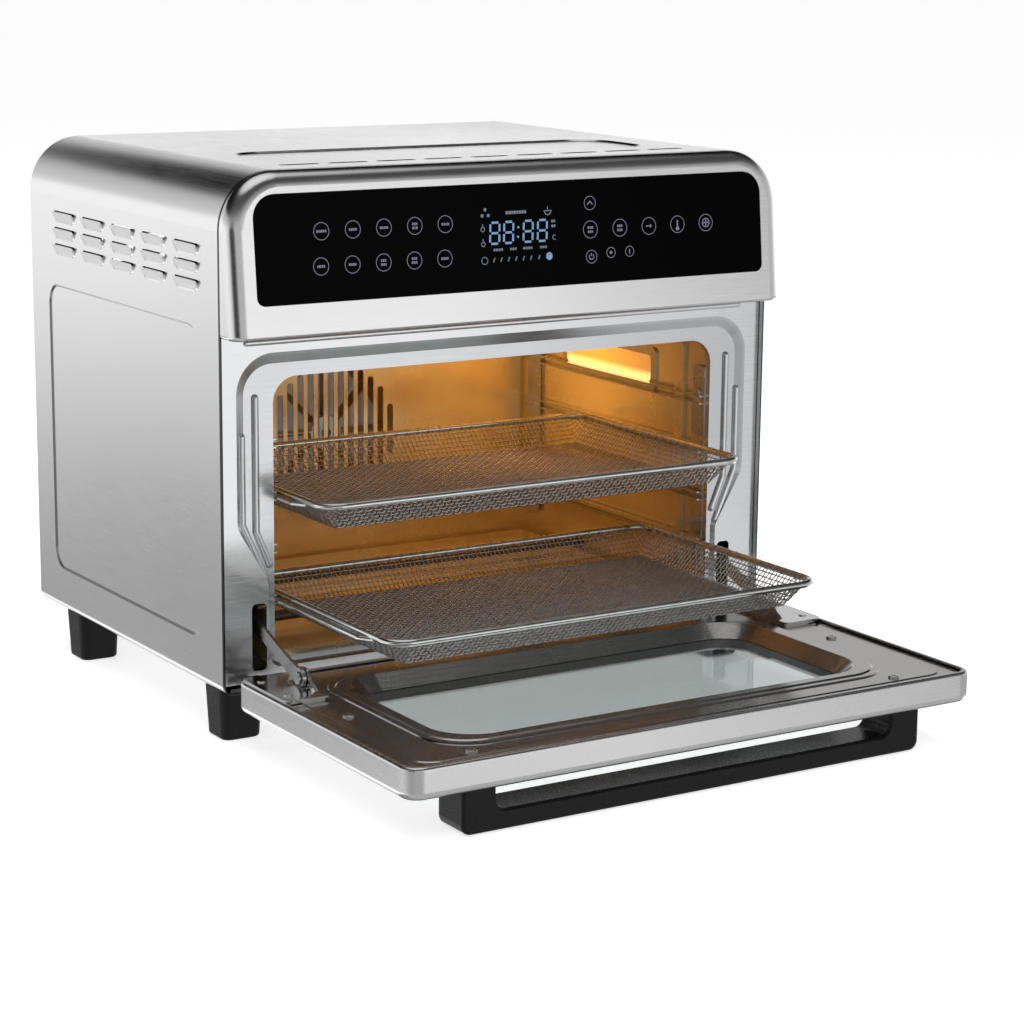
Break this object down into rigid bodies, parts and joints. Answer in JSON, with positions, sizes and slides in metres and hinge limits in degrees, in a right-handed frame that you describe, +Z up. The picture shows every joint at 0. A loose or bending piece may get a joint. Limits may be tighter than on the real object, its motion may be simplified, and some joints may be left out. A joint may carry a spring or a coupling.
{
  "type": "toaster oven",
  "caption": "Countertop toaster oven with a drop-down glass door, sliding mesh baskets, touch panel, convection fan and hinged support arms.",
  "frame": {"origin": "on the table, under the middle of the overall width and depth with the door open", "axes": "+X to the right seen from the front, +Y from the front to the back, +Z up"},
  "size_m": [0.4032, 0.5236, 0.348],
  "materials": {
    "casing_steel": "brushed",
    "bezel_steel": "brushed along X",
    "front_steel": "satin pressed",
    "door_steel": "brushed along X",
    "liner_steel": "bright pressed",
    "galvanised_steel": "galvanised",
    "cavity_steel": "bright rolled",
    "rack_steel": "plated",
    "hinge_steel": "plain",
    "bracket_steel": "polished",
    "pin_steel": "turned",
    "screw_steel": "plated",
    "panel_glass": "black printed",
    "door_glass": "clear tempered",
    "lamp_glass": "frosted",
    "bulb_glass": "lit",
    "display_plastic": "dark",
    "circuit_board": "solder mask",
    "motor_metal": "plain",
    "fan_aluminium": "stamped",
    "black_plastic": "fine grain",
    "handle_plastic": "satin",
    "foot_rubber": "matte",
    "gasket_rubber": "silicone",
    "reflector_aluminium": "bright",
    "glass_wool": "felted",
    "heater_tube": "oxidised",
    "basket_wire": "woven wire",
    "basket_rod": "polished"
  },
  "bodies": {
    "oven": {"outer_casing": "casing_steel", "control_bezel": "bezel_steel", "front_plate": "front_steel", "base_plate": "galvanised_steel", "back_panel": "galvanised_steel", "touch_glass": "panel_glass", "display_module": "display_plastic", "control_board": "circuit_board", "power_board": "circuit_board", "cavity_left_wall": "cavity_steel", "cavity_right_wall": "cavity_steel", "cavity_roof": "cavity_steel", "cavity_floor": "cavity_steel", "cavity_rear_wall": "cavity_steel", "fan_guard": "cavity_steel", "fan_chamber": "cavity_steel", "crumb_tray": "cavity_steel", "rack_support_left": "rack_steel", "rack_support_right": "rack_steel", "convection_motor": "motor_metal", "pivot_pins": "pin_steel", "temperature_probe": "pin_steel", "cooling_fan_housing": "black_plastic", "cable_gland": "black_plastic", "rear_spacers": "black_plastic", "lamp_housing": "reflector_aluminium", "lamp_lens": "lamp_glass", "lamp_bulb": "bulb_glass", "insulation_blanket": "glass_wool", "hinge_base_left": "hinge_steel", "hinge_base_right": "hinge_steel", "sheet_screws": "screw_steel", "upper_heater_front": "heater_tube", "upper_heater_rear": "heater_tube", "lower_heater_front": "heater_tube", "lower_heater_rear": "heater_tube", "foot_front_left": "foot_rubber", "foot_front_right": "foot_rubber", "foot_rear_left": "foot_rubber", "foot_rear_right": "foot_rubber"},
    "door": {"door_frame": "door_steel", "door_liner": "liner_steel", "door_glass": "door_glass", "glass_gasket": "gasket_rubber", "door_handle": "handle_plastic", "handle_screws": "screw_steel", "liner_screws": "screw_steel", "hinge_bracket_left": "bracket_steel", "hinge_bracket_right": "bracket_steel", "arm_pins": "pin_steel"},
    "left_arm": {"hinge_arm_left": "hinge_steel"},
    "right_arm": {"hinge_arm_right": "hinge_steel"},
    "upper_basket": {"upper_basket_mesh": "basket_wire", "upper_basket_rim": "basket_rod"},
    "lower_basket": {"lower_basket_mesh": "basket_wire", "lower_basket_rim": "basket_rod"},
    "convection_rotor": {"convection_fan": "fan_aluminium", "fan_shaft": "pin_steel"},
    "cooling_rotor": {"cooling_fan": "black_plastic"}
  },
  "joints": [
    {"name": "door_hinge", "type": "hinge", "parent": "oven", "child": "door", "pos_m": [0, -0.05025, 0.0365], "axis": [-1, 0, 0], "range_deg": [0, 90]},
    {"name": "left_arm_pivot", "type": "hinge", "parent": "door", "child": "left_arm", "pos_m": [-0.1742, -0.08825, 0.0525], "axis": [-1, 0, 0], "range_deg": [-76.1, 0]},
    {"name": "right_arm_pivot", "type": "hinge", "parent": "door", "child": "right_arm", "pos_m": [0.1742, -0.08825, 0.0525], "axis": [-1, 0, 0], "range_deg": [-76.1, 0]},
    {"name": "upper_basket_slide", "type": "slide", "parent": "oven", "child": "upper_basket", "axis": [0, 1, 0], "range_m": [0, 0.0831]},
    {"name": "lower_basket_slide", "type": "slide", "parent": "oven", "child": "lower_basket", "axis": [0, 1, 0], "range_m": [0, 0.1651]},
    {"name": "convection_spin", "type": "hinge", "parent": "oven", "child": "convection_rotor", "pos_m": [0, 0.20675, 0.137], "axis": [0, 1, 0], "continuous": true},
    {"name": "cooling_spin", "type": "hinge", "parent": "oven", "child": "cooling_rotor", "pos_m": [0.1, 0.23075, 0.294], "axis": [0, 1, 0], "continuous": true}
  ],
  "couplings": [
    {"joint": "left_arm_pivot", "follows": "door_hinge", "ratio": -0.84444},
    {"joint": "right_arm_pivot", "follows": "door_hinge", "ratio": -0.84444},
    {"joint": "upper_basket_slide", "follows": "door_hinge", "m_per_rad": 0.05284},
    {"joint": "lower_basket_slide", "follows": "door_hinge", "m_per_rad": 0.10504}
  ]
}
